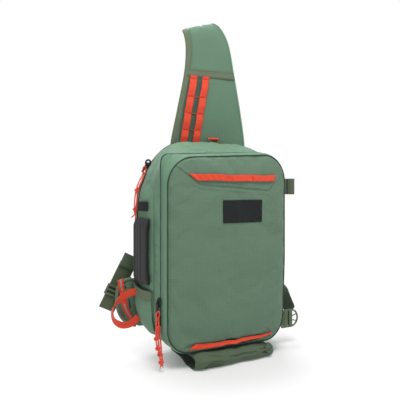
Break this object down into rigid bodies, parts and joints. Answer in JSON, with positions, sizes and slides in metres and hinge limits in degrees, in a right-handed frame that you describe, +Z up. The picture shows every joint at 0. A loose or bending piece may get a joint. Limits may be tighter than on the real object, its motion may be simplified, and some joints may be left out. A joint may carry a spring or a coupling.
{
  "type": "fishing tackle sling bag",
  "caption": "Sling pack for fishing tackle with a padded shoulder strap, a flat front pocket, daisy chain webbing, a moulded side handle and a rolled base sleeve.",
  "frame": {"origin": "centre of the base sleeve's flat underside, where the bag stands", "axes": "+Z up to the fold of the strap; the front panel faces -Y; the moulded handle is on the -X side and the strap buckle on the +X side"},
  "size_m": [0.471, 0.2092, 0.7886],
  "materials": {
    "sage_cloth": "matte ripstop weave",
    "light_cloth": "matte weave",
    "drab_cloth": "thin matte weave",
    "strap_cloth": "matte weave over foam",
    "olive_tape": "ribbed binding tape",
    "orange_webbing": "flat woven webbing",
    "dark_webbing": "flat woven webbing",
    "zip_coil": "nylon coil",
    "black_plastic": "satin moulded",
    "handle_rubber": "matte moulded",
    "olive_plastic": "satin moulded",
    "black_patch": "plain woven patch",
    "orange_cord": "braided cord"
  },
  "bodies": {
    "bag": {"front_panel": "sage_cloth", "front_gusset": "light_cloth", "main_compartment": "light_cloth", "back_panel": "sage_cloth", "front_zip": "zip_coil", "main_zip": "zip_coil", "base_sleeve": "drab_cloth", "side_pocket": "sage_cloth", "side_pocket_hem": "olive_tape", "side_handle": "handle_rubber", "panel_daisy_top": "orange_webbing", "panel_daisy_bottom": "orange_webbing", "label_patch": "black_patch", "side_label": "black_patch", "shoulder_strap": "strap_cloth", "strap_binding_left": "olive_tape", "strap_binding_right": "olive_tape", "strap_cross_binding": "olive_tape", "strap_daisy_left": "orange_webbing", "strap_daisy_right": "orange_webbing", "ring_tab": "orange_webbing", "strap_webbing": "dark_webbing", "ladder_lock": "olive_plastic", "lock_tab": "olive_tape", "side_loop": "olive_tape", "wing_pocket": "sage_cloth", "wing_binding": "olive_tape", "wing_strip": "orange_webbing", "side_loop_orange": "orange_webbing", "tail_tab": "sage_cloth", "tail_webbing": "olive_tape", "tail_adjuster": "olive_plastic", "main_slider": "black_plastic", "front_slider_upper": "black_plastic", "front_slider_lower": "black_plastic", "main_pull_cord": "orange_cord", "front_pull_cord_upper": "orange_cord", "front_pull_cord_lower": "orange_cord"},
    "ring": {"d_ring": "olive_plastic"}
  },
  "joints": [
    {"name": "ring_hinge", "type": "hinge", "parent": "bag", "child": "ring", "pos_m": [0.032, 0.07311, 0.496], "axis": [-1, 0, 0], "range_deg": [0, 100]}
  ]
}
